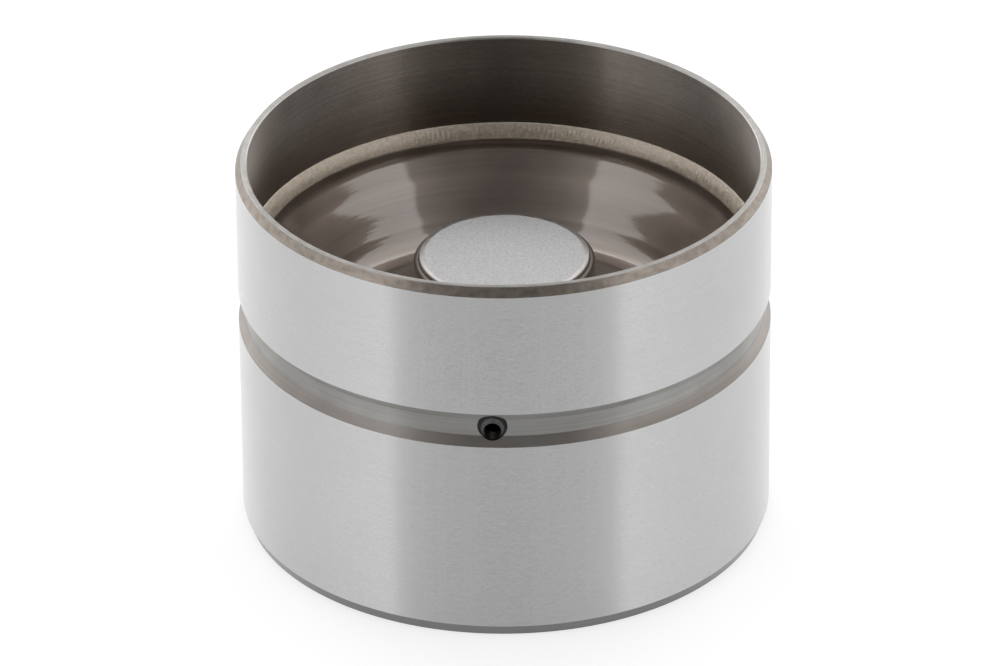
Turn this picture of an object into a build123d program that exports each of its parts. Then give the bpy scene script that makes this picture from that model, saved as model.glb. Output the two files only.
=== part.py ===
from build123d import *
import os
from math import cos, pi, radians, sin, sqrt, tan

# Hydraulic bucket tappet in millimetres. It stands on its cam face with the open end up.
# The origin is the centre of the cam face and +Z is the tappet's axis. The feed hole looks towards -Y.

# Bucket: crown and skirt in one piece
skirt_radius = 17.5
tappet_height = 25.78
crown_thickness = 3.0
rim_wall = 0.78  # thin wall above the web
lower_wall = 1.4  # wall around the oil chamber
crown_corner_radius = 1.5
rim_chamfer_width = 0.36
rim_inner_edge = 0.09
rim_chamfer_height = 0.6
base_chamfer_width = 0.28
base_chamfer_height = 0.73

# Oil groove and feed hole in the skirt, and the transfer slot under the crown
groove_depth_below_rim = 10.38  # to the groove's centre
groove_mouth = 2.44
groove_depth = 0.45
groove_shoulder_height = 0.62
groove_corner_radius = 0.1
feed_hole_radius = 0.57
feed_hole_rise = 0.12  # above the groove's centre
feed_spot_radius = 0.97
feed_spot_depth = 0.06  # straight part below the groove's floor
feed_sink_depth = 0.1
feed_hole_turn = -2.9  # degrees from -Y
slot_width = 3.0
slot_depth = 0.5
slot_reach_past_piston = 2.0

# Guide insert: rim flange, conical web, floor and sleeve, drawn from one sheet
web_sheet = 0.6
web_seat_clearance = 0.02
flange_top_below_rim = 7.35
flange_height = 1.21
cone_slope = 58.5  # degrees from the horizontal
floor_below_rim = 13.33
floor_corner_radius = 1.9
flange_bend_radius = 1.3
sleeve_foot_radius = 0.8
sleeve_wall = 0.36
sleeve_lip_radius = 0.32
sleeve_below_button = 0.35

# Filler ring between the skirt bore and the insert's rim
seam_height = 0.96
seam_bulge = 0.12

# Piston and check valve
piston_radius = 4.48
piston_length = 7.0
reservoir_radius = 3.2
valve_plate = 1.8
orifice_radius = 1.1
seat_mouth_radius = 1.5
ball_radius = 1.75
ball_lift = 0.25
ball_clearance = 0.01  # off the seat, and off the stop when lifted
piston_edge = 0.3

# Ball cage
cage_sheet = 0.25
cage_flange_radius = 3.9
cage_ball_clearance = 0.11
cage_dome_radius = 1.3
cage_dome_height = 0.9
cage_oil_hole_radius = 0.5
cage_window_width = 1.3
cage_window_height = 1.1
cage_window_count = 3

# Inner housing
running_clearance = 0.015  # housing bore on the piston
guide_clearance = 0.02  # housing in the sleeve
housing_wall = 1.105
button_thickness = 2.7
element_travel = 2.2
travel_reserve = 0.15
button_edge = 0.24
housing_mouth_edge = 0.2
housing_bore_corner = 0.4

# Springs
spring_wire_radius = 0.375
spring_mean_radius = 3.3
spring_turns = 4.0
ball_spring_wire_radius = 0.11
ball_spring_mean_radius = 1.0
ball_spring_turns = 3.0
spring_end_turns = 0.75  # closed turns at each end
spring_end_ground = 0.5  # share of the wire's radius ground off each end
spring_points_per_turn = 12

# Heights and radii that follow
skirt_bore = skirt_radius - rim_wall
chamber_bore = skirt_radius - lower_wall
flange_outer = skirt_bore - web_seat_clearance
flange_inner = flange_outer - web_sheet
flange_top_z = tappet_height - flange_top_below_rim
bend_z = flange_top_z - flange_height
floor_z = tappet_height - floor_below_rim
floor_under_z = floor_z - web_sheet
slope = radians(cone_slope)
sheet_across_cone = web_sheet / sin(slope)
seat_across_cone = web_seat_clearance / sin(slope)
groove_floor = skirt_radius - groove_depth
groove_z = tappet_height - groove_depth_below_rim

piston_face_z = crown_thickness + piston_length
seat_contact_radius = ball_radius * sin(radians(45))
seat_contact_z = piston_face_z - (seat_mouth_radius - seat_contact_radius)
ball_z = seat_contact_z + ball_radius * cos(radians(45)) + ball_clearance
cage_bore = ball_radius + cage_ball_clearance
stop_z = ball_z + sqrt(ball_radius**2 - cage_dome_radius**2) + ball_lift + ball_clearance
cage_inner_top_z = stop_z + cage_dome_height
cage_top_z = cage_inner_top_z + cage_sheet
cage_flange_z = piston_face_z + cage_sheet
housing_floor_z = cage_top_z + travel_reserve + element_travel
button_z = housing_floor_z + button_thickness
housing_bore = piston_radius + running_clearance
housing_radius = housing_bore + housing_wall
housing_mouth_z = crown_thickness + element_travel + travel_reserve
sleeve_bore = housing_radius + guide_clearance
sleeve_outer = sleeve_bore + sleeve_wall
sleeve_top_z = button_z - sleeve_below_button


def cone_radius(z, across=0.0):
    """Radius of the web's upper cone surface at height z, moved out horizontally by across."""
    return flange_inner - (bend_z - z) / tan(slope) + across


def cone_height(radius, across=0.0):
    """Height at which that same surface has the given radius."""
    return bend_z - (flange_inner + across - radius) * tan(slope)


def turned(*corners):
    """Solid turned about the axis from (radius, z, fillet) corners given in order."""
    points = [(r, z) for r, z, fillet in corners]
    fillets = [fillet for r, z, fillet in corners]
    outline = FilletPolyline(*points, radius=fillets, close=True)
    return revolve(Plane.XZ * make_face(outline), Axis.Z)


def bucket_body():
    """Crown and skirt: stepped bore with a conical seat for the web, groove, feed hole, slot."""
    half_mouth = groove_mouth / 2
    half_floor = half_mouth - groove_shoulder_height
    seat_across = sheet_across_cone + seat_across_cone
    body = turned(
        (0, 0, 0),
        (skirt_radius - base_chamfer_width, 0, 0),
        (skirt_radius, base_chamfer_height, 0),
        (skirt_radius, groove_z - half_mouth, 0),
        (groove_floor, groove_z - half_floor, groove_corner_radius),
        (groove_floor, groove_z + half_floor, groove_corner_radius),
        (skirt_radius, groove_z + half_mouth, 0),
        (skirt_radius, tappet_height - rim_chamfer_height, 0),
        (skirt_radius - rim_chamfer_width, tappet_height, 0),
        (skirt_bore + rim_inner_edge, tappet_height, 0),
        (skirt_bore, tappet_height - rim_inner_edge, 0),
        (skirt_bore, cone_height(skirt_bore, seat_across), 0),
        (chamber_bore, cone_height(chamber_bore, seat_across), 0),
        (chamber_bore, crown_thickness, crown_corner_radius),
        (0, crown_thickness, 0),
    )
    towards_hole = Rot(0, 0, feed_hole_turn) * Rot(90, 0, 0)
    spot_bottom = groove_floor - feed_spot_depth
    hole_start = chamber_bore - lower_wall
    hole_length = skirt_radius + lower_wall - hole_start
    spot_length = skirt_radius + lower_wall - spot_bottom
    drill = Pos(0, 0, hole_start + hole_length / 2) * Cylinder(feed_hole_radius, hole_length)
    spot = Pos(0, 0, spot_bottom + spot_length / 2) * Cylinder(feed_spot_radius, spot_length)
    sink = Pos(0, 0, spot_bottom - feed_sink_depth / 2) * Cone(
        feed_hole_radius, feed_spot_radius, feed_sink_depth
    )
    body -= Pos(0, 0, groove_z + feed_hole_rise) * towards_hole * (drill + spot + sink)
    slot_length = 2 * (piston_radius + slot_reach_past_piston)
    slot = SlotOverall(slot_length, slot_width)
    body -= Pos(0, 0, crown_thickness - slot_depth) * extrude(slot, slot_depth)
    return body


def guide_insert():
    """Sheet insert: flange in the skirt bore, cone down to the floor, collar drawn up as the sleeve."""
    under = sheet_across_cone
    return turned(
        (flange_outer, flange_top_z, 0),
        (flange_outer, cone_height(flange_outer, under), flange_bend_radius + web_sheet),
        (cone_radius(floor_under_z, under), floor_under_z, floor_corner_radius + web_sheet),
        (sleeve_bore, floor_under_z, sleeve_foot_radius),
        (sleeve_bore, sleeve_top_z, 0),
        (sleeve_outer, sleeve_top_z, sleeve_lip_radius),
        (sleeve_outer, floor_z, sleeve_foot_radius),
        (cone_radius(floor_z), floor_z, floor_corner_radius),
        (flange_inner, bend_z, flange_bend_radius),
        (flange_inner, flange_top_z, 0),
    )


def weld_seam():
    """Filler ring on the insert's rim: a slightly crowned slope from the bore to the rim's inner edge."""
    foot = (flange_inner, flange_top_z)
    heel = (skirt_bore, flange_top_z)
    top = (skirt_bore, flange_top_z + seam_height)
    length = sqrt((top[0] - foot[0]) ** 2 + (top[1] - foot[1]) ** 2)
    crown_r = (foot[0] + top[0]) / 2 - seam_bulge * (top[1] - foot[1]) / length
    crown_z = (foot[1] + top[1]) / 2 + seam_bulge * (top[0] - foot[0]) / length
    outline = [Line(foot, heel), Line(heel, top), ThreePointArc(top, (crown_r, crown_z), foot)]
    return revolve(Plane.XZ * make_face(outline), Axis.Z)


def piston():
    """Hollow piston on the crown with the valve plate, orifice and conical ball seat at its far end."""
    plate_z = piston_face_z - valve_plate
    seat_depth = seat_mouth_radius - orifice_radius
    return turned(
        (reservoir_radius, crown_thickness, 0),
        (piston_radius, crown_thickness, piston_edge),
        (piston_radius, piston_face_z, piston_edge),
        (seat_mouth_radius, piston_face_z, 0),
        (orifice_radius, piston_face_z - seat_depth, 0),
        (orifice_radius, plate_z, 0),
        (reservoir_radius, plate_z, piston_edge),
    )


def ball_cage():
    """Drawn cap: flange on the piston, wall round the ball, stop ring and dome for the ball spring."""
    dome_outer = cage_dome_radius + cage_sheet
    cage = turned(
        (cage_bore, piston_face_z, 0),
        (cage_flange_radius, piston_face_z, 0),
        (cage_flange_radius, cage_flange_z, 0),
        (cage_bore + cage_sheet, cage_flange_z, 0),
        (cage_bore + cage_sheet, stop_z + cage_sheet, cage_sheet),
        (dome_outer, stop_z + cage_sheet, 0),
        (dome_outer, cage_top_z, cage_sheet),
        (cage_oil_hole_radius, cage_top_z, 0),
        (cage_oil_hole_radius, cage_inner_top_z, 0),
        (cage_dome_radius, cage_inner_top_z, 0),
        (cage_dome_radius, stop_z, 0),
        (cage_bore, stop_z, 0),
    )
    window_z = (cage_flange_z + stop_z) / 2
    window = Box(2 * cage_bore, cage_window_width, cage_window_height)
    for turn in range(cage_window_count):
        around = Rot(0, 0, 360 / cage_window_count * turn)
        cage -= around * Pos(cage_bore + cage_sheet, 0, window_z) * window
    return cage


def inner_housing():
    """Cup that slides in the sleeve and on the piston; its closed end is the valve-stem face."""
    return turned(
        (0, housing_floor_z, 0),
        (housing_bore, housing_floor_z, housing_bore_corner),
        (housing_bore, housing_mouth_z, 0),
        (housing_radius - housing_mouth_edge, housing_mouth_z, 0),
        (housing_radius, housing_mouth_z + housing_mouth_edge, 0),
        (housing_radius, button_z - button_edge, 0),
        (housing_radius - button_edge, button_z, 0),
        (0, button_z, 0),
    )


def coil_spring(bottom_z, top_z, mean_radius, wire_radius, turns):
    """Compression spring with closed ends: the pitch is the wire's width there and even between."""
    inset = wire_radius * (1 - spring_end_ground)
    low, high = bottom_z + inset, top_z - inset
    end_rise = 2 * wire_radius * spring_end_turns
    active_turns = turns - 2 * spring_end_turns
    active_rise = high - low - 2 * end_rise

    def rise(turn):
        if turn <= spring_end_turns:
            return end_rise * turn / spring_end_turns
        if turn >= turns - spring_end_turns:
            return high - low - end_rise * (turns - turn) / spring_end_turns
        return end_rise + active_rise * (turn - spring_end_turns) / active_turns

    steps = round(turns * spring_points_per_turn)
    points = []
    for step in range(steps + 1):
        turn = turns * step / steps
        angle = 2 * pi * turn
        points.append((mean_radius * cos(angle), mean_radius * sin(angle), low + rise(turn)))
    path = Spline(*points)
    wire = sweep(Plane(origin=path @ 0, z_dir=path % 0) * Circle(wire_radius), path=path, is_frenet=True)
    slab_width = 4 * (mean_radius + wire_radius)
    slab = Box(slab_width, slab_width, top_z - bottom_z)
    return wire & Pos(0, 0, (bottom_z + top_z) / 2) * slab


def ball_spring():
    """Light spring between the ball and the cage's dome."""
    reach = ball_radius + ball_spring_wire_radius
    wire_centre_z = ball_z + sqrt(reach**2 - ball_spring_mean_radius**2)
    bottom_z = wire_centre_z - ball_spring_wire_radius * (1 - spring_end_ground)
    return coil_spring(
        bottom_z, cage_inner_top_z, ball_spring_mean_radius, ball_spring_wire_radius, ball_spring_turns
    )


def return_spring():
    """Spring between the cage's flange and the inner housing's floor."""
    return coil_spring(
        cage_flange_z, housing_floor_z, spring_mean_radius, spring_wire_radius, spring_turns
    )


pieces = {
    "bucket_body": bucket_body(),
    "guide_insert": guide_insert(),
    "weld_seam": weld_seam(),
    "piston": piston(),
    "check_ball": Pos(0, 0, ball_z) * Sphere(ball_radius),
    "ball_spring": ball_spring(),
    "ball_cage": ball_cage(),
    "return_spring": return_spring(),
    "inner_housing": inner_housing(),
}

os.makedirs("parts", exist_ok=True)
for node, shape in pieces.items():
    export_step(shape, f"parts/{node}.step")
    print(node, round(shape.volume, 3), shape.bounding_box())
print("ball centre", ball_z, "cage flange top", cage_flange_z, "dome", cage_inner_top_z, "button", button_z)
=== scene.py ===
import math

import bpy
import numpy as np
from mathutils import Matrix, Vector


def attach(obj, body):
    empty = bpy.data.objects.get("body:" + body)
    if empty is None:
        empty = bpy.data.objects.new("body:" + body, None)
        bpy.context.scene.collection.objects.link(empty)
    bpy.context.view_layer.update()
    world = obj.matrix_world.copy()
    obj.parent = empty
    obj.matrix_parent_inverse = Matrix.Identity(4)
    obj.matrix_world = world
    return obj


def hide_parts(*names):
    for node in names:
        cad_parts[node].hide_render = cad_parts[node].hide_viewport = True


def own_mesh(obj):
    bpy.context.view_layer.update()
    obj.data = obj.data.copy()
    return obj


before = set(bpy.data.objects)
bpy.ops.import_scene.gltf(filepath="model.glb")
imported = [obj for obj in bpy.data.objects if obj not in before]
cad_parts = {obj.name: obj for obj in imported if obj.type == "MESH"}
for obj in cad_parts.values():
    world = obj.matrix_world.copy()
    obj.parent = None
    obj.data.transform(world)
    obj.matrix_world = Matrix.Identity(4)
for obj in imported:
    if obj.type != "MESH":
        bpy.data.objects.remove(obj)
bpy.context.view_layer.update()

mm = 0.001
micron = 1e-6
fullTurn = 2 * np.pi
scene = bpy.context.scene
scene.view_settings.view_transform = "Standard"


# Camera: the photograph's view, from the front and 30 degrees above

cameraLook = {
    "place": (-0.0003238, -0.481778, 0.288835),
    "elevation": 29.8256,
    "roll": -0.47697,
    "lens": 303.43,
    "sensor": 36.0,
    "clip": (0.01, 20),
}


def makeCamera(look):
    # axes: forward is +Y dipped by the elevation, then right and up are turned about it by the roll
    dip, roll = math.radians(look["elevation"]), math.radians(look["roll"])
    ahead = Vector((0, math.cos(dip), -math.sin(dip)))
    level, rise = Vector((1, 0, 0)), Vector((0, math.sin(dip), math.cos(dip)))
    right = level * math.cos(roll) + rise * math.sin(roll)
    up = rise * math.cos(roll) - level * math.sin(roll)
    data = bpy.data.cameras.new("camera")
    data.lens, data.sensor_width = look["lens"], look["sensor"]
    data.clip_start, data.clip_end = look["clip"]
    camera = bpy.data.objects.new("camera", data)
    turn = Matrix((right, up, -ahead)).transposed().to_4x4()
    camera.matrix_world = Matrix.Translation(look["place"]) @ turn
    scene.collection.objects.link(camera)
    scene.camera = camera


makeCamera(cameraLook)
print("stage: camera set")


# Node helpers

def addNode(tree, kind, settings=None, **sockets):
    # a node with its settings; a socket is named by number (i0, i1) or by name, and is given a value or
    # another node's socket
    node = tree.nodes.new(kind)
    for key, value in (settings or {}).items():
        setattr(node, key, value)
    for key, value in sockets.items():
        place = int(key[1:]) if key[0] == "i" and key[1:].isdigit() else key.replace("_", " ")
        socket = node.inputs[place]
        if isinstance(value, bpy.types.NodeSocket):
            tree.links.new(value, socket)
        else:
            socket.default_value = value
    return node


def maths(tree, operation, a, b=0.0):
    return addNode(tree, "ShaderNodeMath", {"operation": operation}, i0=a, i1=b).outputs[0]


def vectorMaths(tree, operation, a, b):
    return addNode(tree, "ShaderNodeVectorMath", {"operation": operation}, i0=a, i1=b).outputs[0]


def spread(tree, value, source, target, smooth=False):
    # carries a value from the source range to the target one, clamped, with soft ends if smooth
    kind = {"interpolation_type": "SMOOTHSTEP" if smooth else "LINEAR"}
    return addNode(
        tree, "ShaderNodeMapRange", kind,
        i0=value, i1=source[0], i2=source[1], i3=target[0], i4=target[1],
    ).outputs[0]


def blendColours(tree, share, first, second, kind="MIX"):
    # the colour form of the Mix node has its two colours in sockets 6 and 7 and its result in output 2
    settings = {"data_type": "RGBA", "blend_type": kind}
    return addNode(tree, "ShaderNodeMix", settings, i0=share, i6=first, i7=second).outputs[2]


def noise(tree, vector, scale, detail, roughness):
    return addNode(
        tree, "ShaderNodeTexNoise", {"noise_dimensions": "3D"},
        Vector=vector, Scale=scale, Detail=detail, Roughness=roughness,
    ).outputs[0]


def grey(value):
    return (value, value, value, 1)


white = grey(1)


# Light: an even bright room with a dark gap in front, round the camera, and a pale floor

roomLook = {
    "wall": (  # turn round the vertical from -Y in degrees, positive towards +X, with the light from there
        (-180, 1.3), (-168, 1.6), (-154, 2.3), (-145, 2.3), (-134, 1.95), (-124, 1.5), (-114, 1.15),
        (-100, 0.9), (-86, 0.9), (-66, 1.1), (-55, 1.22), (-46.6, 1.42), (-45.2, 0.3), (-43, 0.25),
        (-38, 0.235, 0.23, 0.225), (-28, 0.15, 0.146, 0.144), (0, 0.088, 0.088, 0.091),
        (28, 0.15, 0.146, 0.144), (38, 0.21, 0.203, 0.198),
        (44, 0.25), (46.8, 0.28), (48.2, 1.42), (54, 1.24), (62, 1.12), (86, 0.96), (104, 1.0),
        (114, 1.1), (124, 1.35), (138, 2.0), (154, 2.3), (168, 1.6), (180, 1.3),
    ),
    "backDusk": 0.45,  # light of the room just above the horizon behind, as a share of that higher up
    "duskTurn": (160.0, 172.0),  # degrees off the front, either way, over which it sets in
    "duskRise": (0.3, 0.48),  # sine of the elevation over which it ends
    "floorAlbedo": 0.8,
    "floorSeen": (0.36, 0.72),  # share that takes shadow and share that glows, as the camera sees the floor
    "floorMirrored": (0.2, 0.56),  # and as metal does
    "floorSize": 4.0,
}


def makeRoom(look):
    world = bpy.data.worlds.new("room")
    world.use_nodes = True
    scene.world = world
    tree = world.node_tree
    tree.nodes.clear()
    direction = addNode(tree, "ShaderNodeTexCoord").outputs["Generated"]
    axes = addNode(tree, "ShaderNodeSeparateXYZ", Vector=direction).outputs
    turn = maths(tree, "DEGREES", maths(tree, "ARCTAN2", axes[0], maths(tree, "MULTIPLY", axes[1], -1.0)))
    wall = addNode(tree, "ShaderNodeValToRGB", i0=spread(tree, turn, (-180.0, 180.0), (0.0, 1.0)))
    stops = wall.color_ramp.elements
    while len(stops) < len(look["wall"]):
        stops.new(1.0)
    for stop, (angle, *light) in zip(stops, look["wall"]):
        stop.position = (angle + 180) / 360
        stop.color = (*light, 1) if len(light) == 3 else grey(light[0])
    # behind, the wall's light is times 1 + behind (dusk - 1)
    behind = spread(tree, maths(tree, "ABSOLUTE", turn), look["duskTurn"], (0.0, 1.0))
    dusk = spread(tree, axes[2], look["duskRise"], (look["backDusk"], 1.0), smooth=True)
    shade = maths(tree, "ADD", 1.0, maths(tree, "MULTIPLY", behind, maths(tree, "SUBTRACT", dusk, 1.0)))
    shades = addNode(tree, "ShaderNodeCombineXYZ", X=shade, Y=shade, Z=shade).outputs[0]
    wall = blendColours(tree, 1.0, wall.outputs[0], shades, "MULTIPLY")
    seen = addNode(tree, "ShaderNodeLightPath").outputs["Is Camera Ray"]
    colour = blendColours(tree, seen, wall, white)
    back = addNode(tree, "ShaderNodeBackground", Color=colour, Strength=1.0)
    out = addNode(tree, "ShaderNodeOutputWorld")
    tree.links.new(back.outputs[0], out.inputs[0])


def makeFloor(look):
    half = look["floorSize"] / 2
    mesh = bpy.data.meshes.new("floor")
    corners = [(-half, -half, 0), (half, -half, 0), (half, half, 0), (-half, half, 0)]
    mesh.from_pydata(corners, [], [(0, 1, 2, 3)])
    floor = bpy.data.objects.new("floor", mesh)
    scene.collection.objects.link(floor)
    material = bpy.data.materials.new("paleFloor")
    material.use_nodes = True
    tree = material.node_tree
    tree.nodes.clear()

    def glowing(shaded, glow):
        # a plain surface that takes the shadow, with an even glow added to it
        plain = addNode(tree, "ShaderNodeBsdfDiffuse", Color=grey(shaded))
        if not glow:
            return plain.outputs[0]
        light = addNode(tree, "ShaderNodeEmission", Color=white, Strength=glow)
        return addNode(tree, "ShaderNodeAddShader", i0=plain.outputs[0], i1=light.outputs[0]).outputs[0]

    path = addNode(tree, "ShaderNodeLightPath").outputs
    mirrored = maths(tree, "MAXIMUM", path["Is Glossy Ray"], path["Is Transmission Ray"])
    shader = addNode(
        tree, "ShaderNodeMixShader", i0=mirrored,
        i1=glowing(look["floorAlbedo"], 0), i2=glowing(*look["floorMirrored"]),
    )
    shader = addNode(
        tree, "ShaderNodeMixShader", i0=path["Is Camera Ray"],
        i1=shader.outputs[0], i2=glowing(*look["floorSeen"]),
    )
    out = addNode(tree, "ShaderNodeOutputMaterial")
    tree.links.new(shader.outputs[0], out.inputs[0])
    mesh.materials.append(material)


makeRoom(roomLook)
makeFloor(roomLook)
print("stage: room and floor made")


# Finishes, all of metal. A look holds two colours and two roughnesses to wander between; marks, as noise
# steps per metre along and across the tool's travel, with their depth in microns; and patches, as steps per
# metre. It may also hold anisotropic and metallic (out of 1), hair (steps along and across, tip), coat
# (weight, roughness, index of refraction) and a heat tint with painted shade (low and high in mm, tint).

finishLooks = {
    "groundSteel": {  # skirt and piston, ground round the axis
        "light": (0.745, 0.745, 0.75), "dark": (0.70, 0.70, 0.706), "rough": (0.315, 0.325),
        "marks": (300, 11000), "markDepth": 0.1, "patch": 120,
        "anisotropic": 1.0, "hair": (3000, 400000, 2.6),
    },
    "rimLand": {  # narrow flat on the rim
        "light": (0.44, 0.425, 0.405), "dark": (0.25, 0.24, 0.227), "rough": (0.34, 0.39),
        "marks": (60, 12000), "markDepth": 0.3, "patch": 900,
        "anisotropic": 1.0, "hair": (3000, 400000, 2.5),
    },
    "rimEdge": {  # bright broken edges either side of the flat
        "light": (0.50, 0.49, 0.475), "dark": (0.32, 0.31, 0.30), "rough": (0.30, 0.36),
        "marks": (60, 9000), "markDepth": 0.3, "patch": 900,
    },
    "turnedBore": {  # bore above the web, left from turning
        "light": (0.42, 0.38, 0.348), "dark": (0.28, 0.25, 0.228), "rough": (0.34, 0.38),
        "marks": (30, 14000), "markDepth": 5.0, "patch": 200,
        # heat tint and painted shade: browner and darker towards the bottom of the bore
        "anisotropic": 1.0, "hair": (3000, 400000, 2.0), "tintAndShade": (19.4, 24.5, (0.49, 0.44, 0.40)),
    },
    "turnedGroove": {  # groove floor
        "light": (0.50, 0.50, 0.48), "dark": (0.33, 0.32, 0.31), "rough": (0.32, 0.38),
        "marks": (60, 9000), "markDepth": 0.8, "patch": 300, "anisotropic": 1.0,
    },
    "grooveShoulder": {
        "light": (0.37, 0.342, 0.32), "dark": (0.263, 0.235, 0.213), "rough": (0.32, 0.38),
        "marks": (60, 8000), "markDepth": 0.8, "patch": 300, "anisotropic": 1.0, "metallic": 0.7,
    },
    "drilledRing": {  # painted shade: the feed hole's spot ring is dark all round, standing in for the shadow under its upper edge
        "light": (0.05, 0.048, 0.045), "dark": (0.025, 0.024, 0.022), "rough": (0.40, 0.50),
        "marks": (2000, 2000), "markDepth": 2.0, "patch": 1500,
    },
    # painted shade: the spot's floor is a dark copy of drilled steel, for the shade in the counterbore
    "drilledSpot": {
        "light": (0.13, 0.135, 0.133), "dark": (0.07, 0.073, 0.072), "rough": (0.34, 0.42),
        "marks": (2000, 2000), "markDepth": 2.0, "patch": 1500,
    },
    "rimChamfer": {
        "light": (0.41, 0.358, 0.311), "dark": (0.235, 0.202, 0.175), "rough": (0.28, 0.34),
        "marks": (900, 9000), "markDepth": 1.5, "patch": 2000, "anisotropic": 0.4, "metallic": 0.7,
    },
    # painted shade: a dark grey base, for the shadowed floor near the foot that the chamfer reflects
    "baseChamfer": {
        "light": (0.235, 0.235, 0.235), "dark": (0.185, 0.185, 0.185), "rough": (0.28, 0.34),
        "marks": (60, 9000), "markDepth": 0.6, "patch": 300,
        "anisotropic": 0.4, "metallic": 0.85, "coat": (1.0, 0.3, 1.5),
    },
    "plainInside": {  # surfaces closed in by the web
        "light": (0.42, 0.40, 0.38), "dark": (0.34, 0.32, 0.30), "rough": (0.34, 0.42),
        "marks": (40, 5000), "markDepth": 0.8, "patch": 200,
    },
    "drawnSheet": {  # guide insert
        "light": (0.375, 0.31, 0.265), "dark": (0.30, 0.245, 0.21), "rough": (0.42, 0.50),
        "marks": (120, 2600), "markDepth": 5.0, "patch": 350, "coat": (1.0, 0.07, 2.0),
    },
    # painted shade: a darker copy of the drawn sheet for the sleeve, for the shade round the button
    "sleeveSheet": {
        "light": (0.15, 0.125, 0.108), "dark": (0.10, 0.083, 0.07), "rough": (0.42, 0.50),
        "marks": (120, 2600), "markDepth": 3.0, "patch": 350, "coat": (0.25, 0.3, 1.5),
    },
    "sheetFloor": {  # the insert's floor, a darker copy of the drawn sheet: painted shade at the bottom of the bowl
        "light": (0.22, 0.185, 0.16), "dark": (0.16, 0.13, 0.11), "rough": (0.42, 0.50),
        "marks": (120, 2600), "markDepth": 3.0, "patch": 350, "coat": (0.5, 0.2, 1.6),
    },
    "fillerMetal": {
        "light": (0.72, 0.632, 0.53), "dark": (0.44, 0.366, 0.29), "rough": (0.38, 0.52),
        "marks": (3400, 3800), "markDepth": 9.0, "patch": 3000, "metallic": 0.6,
    },
    # painted highlight: a near-white strip along the bead's top hem
    "fillerHem": {
        "light": (0.98, 0.92, 0.82), "dark": (0.75, 0.68, 0.58), "rough": (0.34, 0.42),
        "marks": (2200, 2600), "markDepth": 4.0, "patch": 1500, "metallic": 0.5,
    },
    "buttonSteel": {  # inner housing, with a tumbled face
        "light": (0.49, 0.485, 0.487), "dark": (0.315, 0.312, 0.317), "rough": (0.30, 0.38),
        "marks": (7600, 7600), "markDepth": 2.4, "patch": 5200,
    },
    "buttonEdge": {
        "light": (0.43, 0.42, 0.415), "dark": (0.31, 0.30, 0.295), "rough": (0.30, 0.38),
        "marks": (2000, 4400), "markDepth": 3.0, "patch": 2600,
    },
    # painted shade: the button's side wall darker and browner, for the shade in the gap inside the sleeve
    "buttonSide": {
        "light": (0.36, 0.32, 0.30), "dark": (0.27, 0.238, 0.22), "rough": (0.36, 0.42),
        "marks": (60, 9000), "markDepth": 0.8, "patch": 600, "metallic": 0.35,
    },
    "polishedBall": {
        "light": (0.62, 0.62, 0.62), "dark": (0.58, 0.58, 0.58), "rough": (0.06, 0.09),
        "marks": (400, 400), "markDepth": 0.0, "patch": 600,
    },
    "springWire": {
        "light": (0.34, 0.32, 0.30), "dark": (0.24, 0.22, 0.20), "rough": (0.28, 0.38),
        "marks": (900, 900), "markDepth": 0.8, "patch": 900,
    },
    "pressedCage": {
        "light": (0.50, 0.49, 0.47), "dark": (0.42, 0.41, 0.39), "rough": (0.28, 0.36),
        "marks": (500, 3000), "markDepth": 0.8, "patch": 700,
    },
}


toneSpan, patchSpan = (0.32, 0.68), (0.3, 0.7)  # where noise is read as its lowest and highest
markGrain, patchGrain, hairGrain = (3.0, 0.6), (3.0, 0.55), (2.0, 0.6)  # detail and roughness of the noise
quarterTurn = 0.25


def stretchedPlace(tree, axes, across, along, fine):
    # (x, y, height + radius) with a short step along the tool's travel and a very short one across it, so
    # noise read there runs round the axis on walls, flats and cones alike
    return addNode(
        tree, "ShaderNodeCombineXYZ",
        X=maths(tree, "MULTIPLY", axes[0], along),
        Y=maths(tree, "MULTIPLY", axes[1], along),
        Z=maths(tree, "MULTIPLY", across, fine),
    ).outputs[0]


def tintedAndShadedColour(tree, colour, height, tintAndShade):
    # heat tint and painted shade: the colour times one that climbs with height from the given tint to
    # white, so the bore is browner and darker towards the bottom
    low, high, tint = tintAndShade
    towardsWhite = spread(tree, height, (low * mm, high * mm), (0.0, 1.0), smooth=True)
    tintShade = blendColours(tree, towardsWhite, (*tint, 1), white)
    return blendColours(tree, 1.0, colour, tintShade, "MULTIPLY")


def hairedNormal(tree, facing, turned, axes, across, hair):
    # grinding hair too fine to see: the normal plus tip (noise - 1/2) across the marks, so light fans out
    along, fine, tip = hair
    wander = noise(tree, stretchedPlace(tree, axes, across, along, fine), 1.0, *hairGrain)
    lean = maths(tree, "MULTIPLY", maths(tree, "SUBTRACT", wander, 0.5), tip)
    sideways = vectorMaths(tree, "CROSS_PRODUCT", turned, facing)
    push = addNode(tree, "ShaderNodeVectorMath", {"operation": "SCALE"}, i0=sideways, Scale=lean).outputs[0]
    leaning = vectorMaths(tree, "ADD", facing, push)
    return addNode(tree, "ShaderNodeVectorMath", {"operation": "NORMALIZE"}, i0=leaning).outputs[0]


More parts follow.
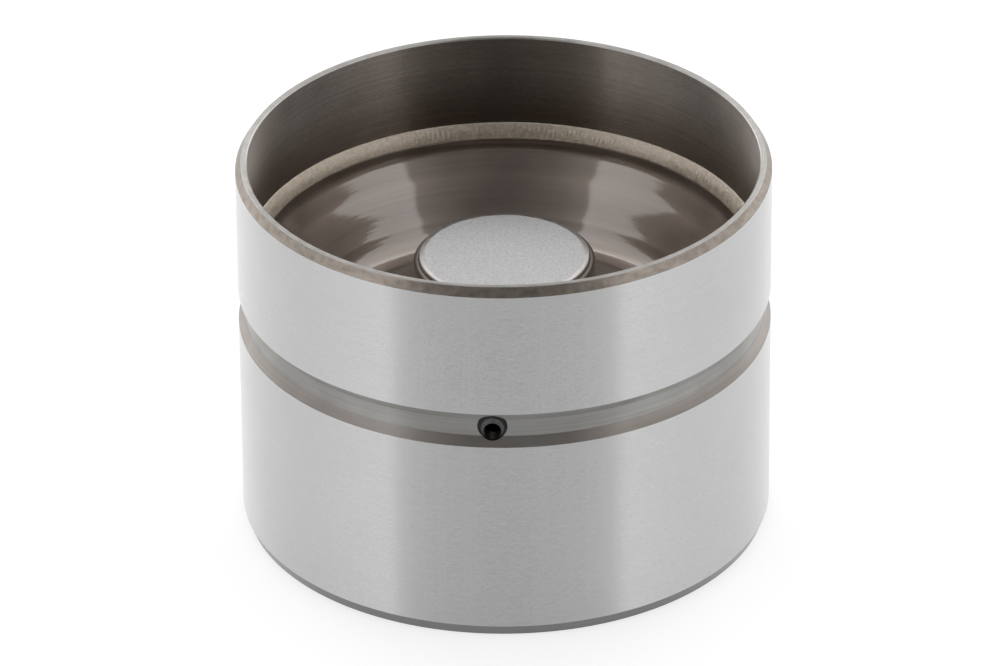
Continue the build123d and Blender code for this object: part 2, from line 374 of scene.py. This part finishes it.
def makeFinish(name, look):
    # tone is the mean of the marks' noise and the patches' noise, and sets the colour; patches set the
    # roughness; marks are also a bump
    material = bpy.data.materials.new(name)
    material.use_nodes = True
    tree = material.node_tree
    tree.nodes.clear()
    place = addNode(tree, "ShaderNodeTexCoord").outputs["Object"]
    axes = addNode(tree, "ShaderNodeSeparateXYZ", Vector=place).outputs
    flat = addNode(tree, "ShaderNodeCombineXYZ", X=axes[0], Y=axes[1]).outputs[0]
    radius = addNode(tree, "ShaderNodeVectorMath", {"operation": "LENGTH"}, i0=flat).outputs["Value"]
    across = maths(tree, "ADD", axes[2], radius)
    marks = noise(tree, stretchedPlace(tree, axes, across, *look["marks"]), 1.0, *markGrain)
    patches = noise(tree, place, look["patch"], *patchGrain)
    tone = maths(tree, "ADD", maths(tree, "MULTIPLY", marks, 0.5), maths(tree, "MULTIPLY", patches, 0.5))
    tone = spread(tree, tone, toneSpan, (0.0, 1.0))
    colour = blendColours(tree, tone, (*look["dark"], 1), (*look["light"], 1))
    # heat tint and painted shade, browner and darker towards the bottom
    if "tintAndShade" in look:
        colour = tintedAndShadedColour(tree, colour, axes[2], look["tintAndShade"])
    rough = spread(tree, patches, patchSpan, look["rough"])
    depth = look["markDepth"] * micron
    facing = addNode(tree, "ShaderNodeBump", Strength=1.0, Distance=depth, Height=marks).outputs[0]
    turned = addNode(tree, "ShaderNodeTangent", {"direction_type": "RADIAL", "axis": "Z"}).outputs[0]
    if "hair" in look:
        facing = hairedNormal(tree, facing, turned, axes, across, look["hair"])
    shader = addNode(
        tree, "ShaderNodeBsdfPrincipled", Metallic=look.get("metallic", 1.0), Base_Color=colour,
        Roughness=rough, Normal=facing, Anisotropic=look.get("anisotropic", 0.0),
        Anisotropic_Rotation=quarterTurn,
    )
    if "anisotropic" in look:
        tree.links.new(turned, shader.inputs["Tangent"])
    for part, value in zip(("Weight", "Roughness", "IOR"), look.get("coat", ())):
        shader.inputs["Coat " + part].default_value = value
    if "coat" in look:
        tree.links.new(facing, shader.inputs["Coat Normal"])
    out = addNode(tree, "ShaderNodeOutputMaterial")
    tree.links.new(shader.outputs[0], out.inputs[0])
    return material


finishes = {name: makeFinish(name, look) for name, look in finishLooks.items()}
print("stage:", len(finishes), "finishes made")


# Shapes turned about the axis

guard = 0.03  # mm from a rounding's end to the point that keeps the run beside it flat
axisReach = 1e-9  # mm within which a point counts as on the axis


def roundedOutline(corners, step=9.0):
    # each corner is (radius, height, rounding, finish of the run after it), in mm, in order with the metal
    # on the left; a rounding is an arc tangent to both runs, with a point every step degrees
    plan = np.array([c[:2] for c in corners], float)
    before, after = np.roll(plan, 1, axis=0) - plan, np.roll(plan, -1, axis=0) - plan
    lengths = np.linalg.norm(after, axis=1)
    before, after = (v / np.linalg.norm(v, axis=1)[:, None] for v in (before, after))
    opening = np.arccos(np.clip((before * after).sum(1), -1, 1))  # angle between the two runs of a corner
    rounding = np.array([c[2] for c in corners], float)
    reach = rounding / np.tan(opening / 2)
    points, runs = [], []
    for i, corner in enumerate(corners):
        last, following = corners[i - 1][3], corner[3]
        if rounding[i] > 0:
            middle = before[i] + after[i]
            middle /= np.linalg.norm(middle)
            centre = plan[i] + middle * rounding[i] / math.sin(opening[i] / 2)
            start, end = plan[i] + before[i] * reach[i] - centre, plan[i] + after[i] * reach[i] - centre
            swing = math.pi - opening[i]
            count = max(2, math.ceil(math.degrees(swing) / step)) + 1
            share = np.linspace(0, 1, count)[:, None]
            mixed = start * np.sin((1 - share) * swing) + end * np.sin(share * swing)
            arc = centre + mixed / math.sin(swing)
        else:
            arc = plan[i][None, :]
        points.append(arc)
        runs += [last] * (len(arc) - 1) + [following]
        nextReach = reach[(i + 1) % len(corners)]
        if lengths[i] - reach[i] - nextReach > 3 * guard:
            tail, head = arc[-1], plan[i] + after[i] * (lengths[i] - nextReach)
            points.append(np.array([tail + after[i] * guard, head - after[i] * guard]))
            runs += [following] * 2
    return np.vstack(points), runs


def turnedMesh(name, outline, runs, around=360, wobble=None):
    # the outline is carried round the axis: x = radius cos(turn), y = radius sin(turn), z = height; points
    # on the axis become one pole each, and wobble(turn) gives what to add to (radius, height)
    turn = np.linspace(0, fullTurn, around, endpoint=False)
    radius, height = np.repeat(outline[:, :1], around, 1), np.repeat(outline[:, 1:], around, 1)
    if wobble:
        out, up = wobble(turn[None, :])
        radius, height = radius + out, height + up
    grid = np.stack([radius * np.cos(turn), radius * np.sin(turn), height], axis=2) * mm
    count = len(outline)
    number = np.arange(count * around).reshape(count, around)
    onAxis = outline[:, 0] < axisReach
    number[onAxis] = number[onAxis][:, :1]
    low, high = number, np.roll(number, -1, axis=0)
    quads = np.stack([low, np.roll(low, -1, 1), np.roll(high, -1, 1), high], axis=2)
    finishOf = sorted(set(runs))
    slots = np.repeat(np.array([finishOf.index(r) for r in runs])[:, None], around, 1)
    keep = ~(onAxis & np.roll(onAxis, -1))
    return buildMesh(name, grid.reshape(-1, 3), quads[keep].reshape(-1, 4), slots[keep].ravel(), finishOf)


def buildMesh(name, places, quads, slots, finishOf):
    # quads whose neighbours are one point become triangles; unused points are dropped
    ring = [quads[:, i] != quads[:, (i + 1) % 4] for i in range(4)]
    whole = np.stack(ring, axis=1)
    sizes = whole.sum(1)
    corners = quads[whole]
    used, corners = np.unique(corners, return_inverse=True)
    mesh = bpy.data.meshes.new(name)
    mesh.vertices.add(len(used))
    mesh.vertices.foreach_set("co", places[used].astype(np.float32).ravel())
    mesh.loops.add(len(corners))
    mesh.loops.foreach_set("vertex_index", corners.astype(np.int32).ravel())
    mesh.polygons.add(len(sizes))
    mesh.polygons.foreach_set("loop_start", np.concatenate([[0], np.cumsum(sizes)[:-1]]).astype(np.int32))
    mesh.polygons.foreach_set("material_index", slots.astype(np.int32))
    mesh.polygons.foreach_set("use_smooth", np.ones(len(sizes), bool))
    for finish in finishOf:
        mesh.materials.append(finishes[finish])
    mesh.update(calc_edges=True)
    mesh.validate()
    return mesh


def prism(name, low, high, finish):
    # a closed block between two like loops of points, with the first one's face turned down or inwards
    count = len(low)
    sides = [(i, (i + 1) % count, (i + 1) % count + count, i + count) for i in range(count)]
    caps = [tuple(range(count - 1, -1, -1)), tuple(range(count, 2 * count))]
    mesh = bpy.data.meshes.new(name)
    mesh.from_pydata((np.vstack([low, high]) * mm).tolist(), [], sides + caps)
    mesh.materials.append(finishes[finish])
    return mesh


def addPiece(name, mesh, body, node):
    piece = bpy.data.objects.new(name, mesh)
    scene.collection.objects.link(piece)
    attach(piece, body)
    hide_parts(node)
    return piece


sharpFrom = 30  # degrees between faces


def cutMesh(mesh, cutters):
    # the mesh with each cutter taken away by an exact boolean, and its sharp edges marked
    holder = bpy.data.objects.new("work", mesh)
    scene.collection.objects.link(holder)
    tools = []
    for cutter in cutters:
        tool = bpy.data.objects.new("cutter", cutter)
        scene.collection.objects.link(tool)
        tools.append(tool)
        cut = holder.modifiers.new("cut", "BOOLEAN")
        cut.operation, cut.solver, cut.material_mode = "DIFFERENCE", "EXACT", "TRANSFER"
        cut.object = tool
    bpy.context.view_layer.update()
    evaluated = holder.evaluated_get(bpy.context.evaluated_depsgraph_get())
    result = bpy.data.meshes.new_from_object(evaluated)
    for thing in [holder, *tools]:
        bpy.data.objects.remove(thing)
    result.name = mesh.name
    result.set_sharp_from_angle(angle=math.radians(sharpFrom))
    return result


# Bucket: crown and skirt, with its groove, feed hole and stepped bore

bucketLook = {
    "radius": 17.5, "height": 25.78, "crown": 3.0, "bore": 16.72, "chamberBore": 16.1,
    "baseChamfer": (0.28, 0.73), "rimChamfer": (0.36, 0.6), "rimInnerEdge": 0.09, "rimFall": 0.03,
    "grooveHeight": 15.4, "grooveMouth": 2.44, "grooveDepth": 0.45, "grooveShoulder": 0.62,
    "seatHigh": 17.573, "seatLow": 16.561, "crownCorner": 1.5,
    "holeTurn": -2.9,
    "drills": (  # radius, height over the groove's middle, depth below its floor, finish of that depth
        # the first two drills' finishes are painted shade, dark in place of the shadow in the spot
        (0.97, 0.12, 0.03, "drilledRing"),
        (0.74, -0.05, 0.07, "drilledSpot"),
        (0.57, -0.27, 2.4, "plainInside"),
    ),
    "slotWidth": 3.0, "slotLength": 12.96, "slotDepth": 0.5, "slotPoints": 25,
    "edge": 0.04, "grooveCorner": 0.1,
}
drillPast = 1.0  # mm that a drill reaches beyond the skirt
slotPast = 0.5  # mm that the slot's cutter reaches above the crown


def makeBucket(look):
    outer, top, edge = look["radius"], look["height"], look["edge"]
    mouth, shoulder = look["grooveMouth"] / 2, look["grooveShoulder"]
    middle, inner = look["grooveHeight"], outer - look["grooveDepth"]
    corners = [
        (0, 0, 0, "groundSteel"),
        (outer - look["baseChamfer"][0], 0, edge, "baseChamfer"),
        (outer, look["baseChamfer"][1], edge, "groundSteel"),
        (outer, middle - mouth, edge, "grooveShoulder"),
        (inner, middle - mouth + shoulder, look["grooveCorner"], "turnedGroove"),
        (inner, middle + mouth - shoulder, look["grooveCorner"], "turnedGroove"),
        (outer, middle + mouth, edge, "groundSteel"),
        (outer, top - look["rimChamfer"][1], edge, "rimChamfer"),
        (outer - look["rimChamfer"][0], top - look["rimFall"], 0, "rimEdge"),
        (outer - look["rimChamfer"][0] - look["rimFall"], top, 0, "rimLand"),
        (look["bore"] + look["rimInnerEdge"], top, edge, "rimEdge"),
        (look["bore"], top - look["rimInnerEdge"], edge, "turnedBore"),
        (look["bore"], look["seatHigh"], 0, "plainInside"),
        (look["chamberBore"], look["seatLow"], 0, "plainInside"),
        (look["chamberBore"], look["crown"], look["crownCorner"], "plainInside"),
        (0, look["crown"], 0, "plainInside"),
    ]
    outline, runs = roundedOutline(corners)
    body = turnedMesh("bucket", outline, runs)

    # the feed hole: three drills, each lower than the last, turned about a line from the axis outwards
    cutters = [transferSlot(look)]
    for radius, rise, depth, kind in look["drills"]:
        near, far = inner - depth, outer + drillPast
        profile = [(0, near, 0, kind), (radius, near, 0, kind), (radius, far, 0, kind), (0, far, 0, kind)]
        drill = turnedMesh("drill", *roundedOutline(profile), around=64)
        lift = Matrix.Translation((0, 0, (middle + rise) * mm))
        aim = Matrix.Rotation(math.radians(look["holeTurn"]), 4, "Z")
        drill.transform(lift @ aim @ Matrix.Rotation(math.radians(90), 4, "X"))
        cutters.append(drill)
    return cutMesh(body, cutters)


def transferSlot(look):
    # a long hole's outline: two half circles joined by straight sides, raised from the slot's floor
    end = look["slotWidth"] / 2
    half = look["slotLength"] / 2 - end
    turn = np.linspace(-np.pi / 2, np.pi / 2, look["slotPoints"])
    right = np.stack([half + end * np.cos(turn), end * np.sin(turn)], axis=1)
    loop = np.vstack([right, -right])
    heights = look["crown"] - look["slotDepth"], look["crown"] + slotPast
    low, high = (np.column_stack([loop, np.full(len(loop), z)]) for z in heights)
    return prism("slot", low, high, "plainInside")


bucket = addPiece("bucket", makeBucket(bucketLook), "bucket", "bucket_body")
print("stage: bucket made,", len(bucket.data.polygons), "faces")


# Guide insert: flange, cone with the faint waves that drawing leaves, floor and sleeve

insertLook = {
    "sheet": 0.6, "flangeOuter": 16.70, "flangeTop": 18.43, "bendHeight": 17.75, "bendRadius": 1.36,
    "slope": 58.5, "floorHeight": 12.45, "floorCorner": 1.9,
    "sleeveBore": 5.62, "sleeveOuter": 5.98, "sleeveTop": 18.34, "sleeveFoot": 0.8, "sleeveLip": 0.32,
    "edge": 0.03, "underEdge": 0.05,
    "waves": (  # distance down the cone in mm, slope there in degrees
        (0.0, 60.7), (0.04, 66.0), (0.09, 54.0), (0.15, 66.0), (0.2, 60.7), (0.9, 60.7), (1.05, 59.2),
        (1.45, 55.4), (1.65, 56.0), (2.4, 58.4), (2.85, 59.6), (3.15, 59.6), (3.45, 58.4), (4.15, 55.4),
        (4.37, 59.0), (4.55, 57.5),
    ),
    "conePoints": 120, "arcStep": 6.0,
}


def wavyCone(look, start, end):
    # points from start to end whose slope follows the table, smoothed over three points and summed along
    # the run, with the small miss at the end shared out evenly
    run = np.array(end) - np.array(start)
    length = np.linalg.norm(run)
    along = np.linspace(0, length, look["conePoints"])
    table = np.array(look["waves"])
    slope = np.radians(np.interp(along, table[:, 0], table[:, 1]))
    slope[1:-1] = np.convolve(slope, np.ones(3) / 3, "valid")
    steps = np.stack([-np.cos(slope), -np.sin(slope)], axis=1)
    moves = (steps[1:] + steps[:-1]) / 2 * (along[1] - along[0])
    path = np.vstack([[0, 0], np.cumsum(moves, axis=0)])
    miss = run - path[-1]
    return np.array(start) + path + (along / length)[:, None] * miss


def makeInsert(look):
    slope = math.radians(look["slope"])
    flangeInner = look["flangeOuter"] - look["sheet"]
    fall = math.tan(slope)
    sheetAcross = look["sheet"] / math.sin(slope)
    floor, under = look["floorHeight"], look["floorHeight"] - look["sheet"]
    footTop = flangeInner - (look["bendHeight"] - floor) / fall
    footUnder = flangeInner - (look["bendHeight"] - under) / fall + sheetAcross
    bendUnder = look["bendHeight"] - (flangeInner + sheetAcross - look["flangeOuter"]) * fall
    kind = "drawnSheet"
    # the cone's run starts and ends where its roundings do
    down = np.array([-math.cos(slope), -math.sin(slope)])
    bendReach = look["bendRadius"] * math.tan((math.pi / 2 - slope) / 2)
    footReach = look["floorCorner"] * math.tan(slope / 2)
    coneStart = np.array([flangeInner, look["bendHeight"]]) + down * bendReach
    coneEnd = np.array([footTop, floor]) - down * footReach
    corners = [
        (flangeInner, look["flangeTop"], look["edge"], kind),
        (flangeInner, look["bendHeight"], look["bendRadius"], kind),
        # the floor and the sleeve take darker copies of the sheet: painted shade
        (footTop, floor, look["floorCorner"], "sheetFloor"),
        (look["sleeveOuter"], floor, look["sleeveFoot"], "sleeveSheet"),
        (look["sleeveOuter"], look["sleeveTop"], look["sleeveLip"], "sleeveSheet"),
        (look["sleeveBore"], look["sleeveTop"], look["edge"], kind),
        (look["sleeveBore"], under, look["sleeveFoot"], kind),
        (footUnder, under, look["floorCorner"] + look["sheet"], kind),
        (look["flangeOuter"], bendUnder, look["bendRadius"], kind),
        (look["flangeOuter"], look["flangeTop"], look["underEdge"], kind),
    ]
    outline, runs = roundedOutline(corners, step=look["arcStep"])
    cone = wavyCone(look, coneStart, coneEnd)
    # the straight run's two guard points give way to the waves
    first = int(np.argmin(np.linalg.norm(outline - coneStart, axis=1)))
    last = int(np.argmin(np.linalg.norm(outline - coneEnd, axis=1)))
    outline = np.vstack([outline[:first], cone, outline[last + 1:]])
    runs = runs[:first] + [kind] * len(cone) + runs[last + 1:]
    return turnedMesh("guideInsert", outline, runs)


insert = addPiece("guideInsert", makeInsert(insertLook), "bucket", "guide_insert")
print("stage: guide insert made,", len(insert.data.polygons), "faces")


# Filler ring: a crowned bead with fine slanted ripples and an uneven hem

seamLook = {
    "foot": (16.10, 18.43), "heel": (16.72, 18.43), "top": (16.72, 19.39), "bulge": 0.08,
    "ripple": 0.006,  # height of the ripples
    "ripples": (250, 370), "rippleCount": 9,  # how many go round, and how many kinds are summed
    "slant": 9.0,  # most radians that a ripple turns from hem to hem
    "hem": 0.03, "hemWaves": (3, 5, 9, 14, 23, 37, 61, 88), "hemFading": 0.35,
    "hemLift": 0.3,  # how far the lower hem sinks for each mm that it moves inwards
    "calm": 3,  # what each sum of waves is divided by
    "across": 17, "around": 1440,  # points
    "seed": 7,
}


def makeSeam(look):
    # across the face: a chord from foot to top pushed out by a half sine; round the ring: slanted ripples,
    # each a sine of turn plus place across, and slow sums of sines that move the two hems
    foot, top, heel = (np.array(look[k]) for k in ("foot", "top", "heel"))
    share = np.linspace(0, 1, look["across"])[:, None]
    chord = top - foot
    out = np.array([-chord[1], chord[0]]) / np.linalg.norm(chord)
    face = top + (foot - top) * share + out * look["bulge"] * np.sin(np.pi * share)
    outline = np.vstack([face, heel[None, :]])
    # the face's top strip takes the near-white hem finish, a painted highlight
    runs = ["fillerHem"] + ["fillerMetal"] * (len(outline) - 1)
    chance = np.random.default_rng(look["seed"])
    waves = [
        (k, chance.uniform(0, fullTurn), chance.uniform(0.4, 1) / k ** look["hemFading"])
        for k in look["hemWaves"]
    ]
    fewest, most = look["ripples"]
    middle, give = (fewest + most) // 2, (most - fewest) // 2
    fine = [
        (
            middle + chance.integers(-give, give),
            chance.uniform(0, fullTurn),
            chance.uniform(-look["slant"], look["slant"]),
        )
        for i in range(look["rippleCount"])
    ]
    # the heel, the outline's last point, keeps still
    place = np.concatenate([share[:, 0], [0.5]])[:, None]
    isFace = np.concatenate([np.ones(len(share)), [0]])[:, None]

    def wobble(turn):
        calm = look["calm"]
        slow = sum(size * np.sin(k * turn + start) for k, start, size in waves) / calm
        other = sum(size * np.sin((k + 2) * turn + 2 * start) for k, start, size in waves) / calm
        ripple = sum(np.sin(k * turn + start + slant * place) for k, start, slant in fine) / calm
        rise = look["ripple"] * ripple * np.sin(np.pi * place) * isFace
        hemTop = look["hem"] * slow * (1 - place) ** 2 * isFace
        hemFoot = look["hem"] * other * place ** 2 * isFace
        return out[0] * rise - hemFoot, out[1] * rise + hemTop - look["hemLift"] * hemFoot

    return turnedMesh("fillerRing", outline, runs, around=look["around"], wobble=wobble)


seam = addPiece("fillerRing", makeSeam(seamLook), "bucket", "weld_seam")
print("stage: filler ring made,", len(seam.data.polygons), "faces")


# Inner housing: the cup whose closed end is the valve-stem face

housingLook = {
    "radius": 5.6, "bore": 4.495, "face": 18.6164, "floor": 15.9164, "mouth": 5.35,
    "faceEdge": (0.32, 0.08), "mouthEdge": 0.2, "boreCorner": 0.4,
    "edge": 0.05, "sideRounding": 0.1, "faceRounding": 0.5,
}


def makeHousing(look):
    # the side wall's finish is painted shade
    kind, wall = "buttonSteel", "buttonSide"
    corners = [
        (0, look["floor"], 0, "plainInside"),
        (look["bore"], look["floor"], look["boreCorner"], "plainInside"),
        (look["bore"], look["mouth"], look["edge"], "plainInside"),
        (look["radius"] - look["mouthEdge"], look["mouth"], look["edge"], "plainInside"),
        (look["radius"], look["mouth"] + look["mouthEdge"], look["edge"], wall),
        (look["radius"], look["face"] - look["faceEdge"][1], look["sideRounding"], "buttonEdge"),
        (look["radius"] - look["faceEdge"][0], look["face"], look["faceRounding"], kind),
        (0, look["face"], 0, kind),
    ]
    outline, runs = roundedOutline(corners)
    return turnedMesh("innerHousing", outline, runs, around=240)


addPiece("innerHousing", makeHousing(housingLook), "element", "inner_housing")
print("stage: inner housing made")


# Piston with its reservoir and ball seat

pistonLook = {
    "radius": 4.48, "foot": 3.0, "face": 10.0, "reservoir": 3.2, "plate": 1.8,
    "orifice": 1.1, "seat": 1.5, "edge": 0.3, "footEdge": 0.05, "seatEdge": 0.02,
}


def makePiston(look):
    kind = "groundSteel"
    plate = look["face"] - look["plate"]
    corners = [
        (look["reservoir"], look["foot"], look["footEdge"], kind),
        (look["radius"], look["foot"], look["edge"], kind),
        (look["radius"], look["face"], look["edge"], kind),
        (look["seat"], look["face"], look["seatEdge"], kind),
        (look["orifice"], look["face"] - look["seat"] + look["orifice"], look["seatEdge"], kind),
        (look["orifice"], plate, look["seatEdge"], kind),
        (look["reservoir"], plate, look["edge"], kind),
    ]
    outline, runs = roundedOutline(corners)
    return turnedMesh("innerPiston", outline, runs, around=180)


addPiece("innerPiston", makePiston(pistonLook), "bucket", "piston")


# Check ball and its cage

ballLook = {"radius": 1.75, "height": 10.9848, "points": 61}
cageLook = {
    "bore": 1.86, "sheet": 0.25, "foot": 10.0, "flange": 3.9, "stop": 12.4162,
    "dome": 1.3, "domeTop": 13.3162, "oilHole": 0.5, "edge": 0.03, "flangeBend": 0.1, "domeBend": 0.05,
    "windows": 3, "windowSize": (1.3, 1.1), "windowHeight": 11.333, "windowCorner": 0.2,
}
windowPast = 0.4  # mm that a window's cutter reaches past the wall either way


def makeBall(look):
    # a half circle from the bottom pole to the top one, turned about the axis
    radius = look["radius"]
    swing = np.linspace(-np.pi / 2, np.pi / 2, look["points"])
    outline = np.stack([radius * np.cos(swing), look["height"] + radius * np.sin(swing)], axis=1)
    outline[[0, -1], 0] = 0
    return turnedMesh("checkBall", outline, ["polishedBall"] * len(outline), around=120)


def makeCage(look):
    kind = "pressedCage"
    sheet = look["sheet"]
    corners = [
        (look["bore"], look["foot"], look["flangeBend"], kind),
        (look["flange"], look["foot"], look["edge"], kind),
        (look["flange"], look["foot"] + sheet, look["edge"], kind),
        (look["bore"] + sheet, look["foot"] + sheet, look["flangeBend"], kind),
        (look["bore"] + sheet, look["stop"] + sheet, sheet, kind),
        (look["dome"] + sheet, look["stop"] + sheet, look["domeBend"], kind),
        (look["dome"] + sheet, look["domeTop"] + sheet, sheet, kind),
        (look["oilHole"], look["domeTop"] + sheet, look["edge"], kind),
        (look["oilHole"], look["domeTop"], look["edge"], kind),
        (look["dome"], look["domeTop"], look["edge"], kind),
        (look["dome"], look["stop"], look["edge"], kind),
        (look["bore"], look["stop"], look["edge"], kind),
    ]
    outline, runs = roundedOutline(corners)
    shell = turnedMesh("ballCage", outline, runs, around=144)
    return cutMesh(shell, [cageWindow(look, i) for i in range(look["windows"])])


def cageWindow(look, number):
    # a block with rounded upright edges that passes out through the wall at its share of the turn
    wide, tall = (s / 2 for s in look["windowSize"])
    rounding = look["windowCorner"]
    swing = np.radians(np.arange(0, 91, 15))
    right, top = wide - rounding + rounding * np.cos(swing), tall - rounding + rounding * np.sin(swing)
    quarter = np.stack([right, top], axis=1)
    loop = np.vstack([quarter, (quarter * [-1, 1])[::-1], -quarter, (quarter * [1, -1])[::-1]])
    walls = look["bore"] - windowPast, look["bore"] + look["sheet"] + windowPast
    height = loop[:, 1] + look["windowHeight"]
    near, far = (np.column_stack([np.full(len(loop), x), loop[:, 0], height]) for x in walls)
    mesh = prism("window", near, far, "pressedCage")
    mesh.transform(Matrix.Rotation(fullTurn * number / look["windows"], 4, "Z"))
    return mesh


addPiece("checkBall", makeBall(ballLook), "ball", "check_ball")
addPiece("ballCage", makeCage(cageLook), "bucket", "ball_cage")
print("stage: piston, ball and cage made")


# Springs, each coiled between its low and high heights

springLooks = {
    "returnSpring": {
        "low": 10.25, "high": 15.9164, "coil": 3.3, "wire": 0.375, "turns": 4.0,
        "travel": 2.2, "fixed": 10.25, "node": "return_spring", "joint": "element_slide",
    },
    "ballSpring": {
        "low": 12.498, "high": 13.3162, "coil": 1.0, "wire": 0.11, "turns": 3.0,
        "travel": 0.25, "fixed": 13.3162, "node": "ball_spring", "joint": "ball_lift",
    },
}
closedTurns = 0.75  # at each end
turnPoints, wirePoints = 56, 16  # points along one turn and round the wire


def makeSpring(name, look):
    # centre line: (coil cos t, coil sin t, rise(t)) with close-wound ends; the wire is a circle square to
    # it, and its ends are ground flat by clipping the height
    wire, low, high = look["wire"], look["low"], look["high"]
    first, last = low + wire / 2, high - wire / 2
    steps = int(look["turns"] * turnPoints)
    turns = np.linspace(0, look["turns"], steps + 1)
    ends = 2 * wire * closedTurns
    rise = np.interp(
        turns, [0, closedTurns, look["turns"] - closedTurns, look["turns"]],
        [first, first + ends, last - ends, last],
    )
    angle = fullTurn * turns
    centre = np.stack([look["coil"] * np.cos(angle), look["coil"] * np.sin(angle), rise], axis=1)
    along = np.gradient(centre, axis=0)
    along /= np.linalg.norm(along, axis=1)[:, None]
    outwards = np.stack([np.cos(angle), np.sin(angle), 0 * angle], axis=1)
    over = np.cross(outwards, along)
    over /= np.linalg.norm(over, axis=1)[:, None]
    swing = np.linspace(0, fullTurn, wirePoints, endpoint=False)[None, :, None]
    tube = centre[:, None] + wire * (outwards[:, None] * np.cos(swing) + over[:, None] * np.sin(swing))
    tube[:, :, 2] = np.clip(tube[:, :, 2], low, high)
    number = np.arange((steps + 1) * wirePoints).reshape(-1, wirePoints)
    side = np.roll(number, -1, 1)
    quads = np.stack([number[:-1], number[1:], side[1:], side[:-1]], axis=2).reshape(-1, 4)
    rims = number[[0, -1]]
    caps = np.stack([rims[:, [0] * (wirePoints - 2)], rims[:, 1:-1], rims[:, 2:]], axis=2)
    caps[1] = caps[1][:, ::-1]
    caps = caps.reshape(-1, 3)
    quads = np.vstack([quads, np.column_stack([caps, caps[:, 2]])])
    mesh = buildMesh(name, tube.reshape(-1, 3) * mm, quads, np.zeros(len(quads), int), ["springWire"])
    piece = addPiece(name, mesh, "bucket", look["node"])
    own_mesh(piece)


for name, look in springLooks.items():
    makeSpring(name, look)
print("stage: springs made")
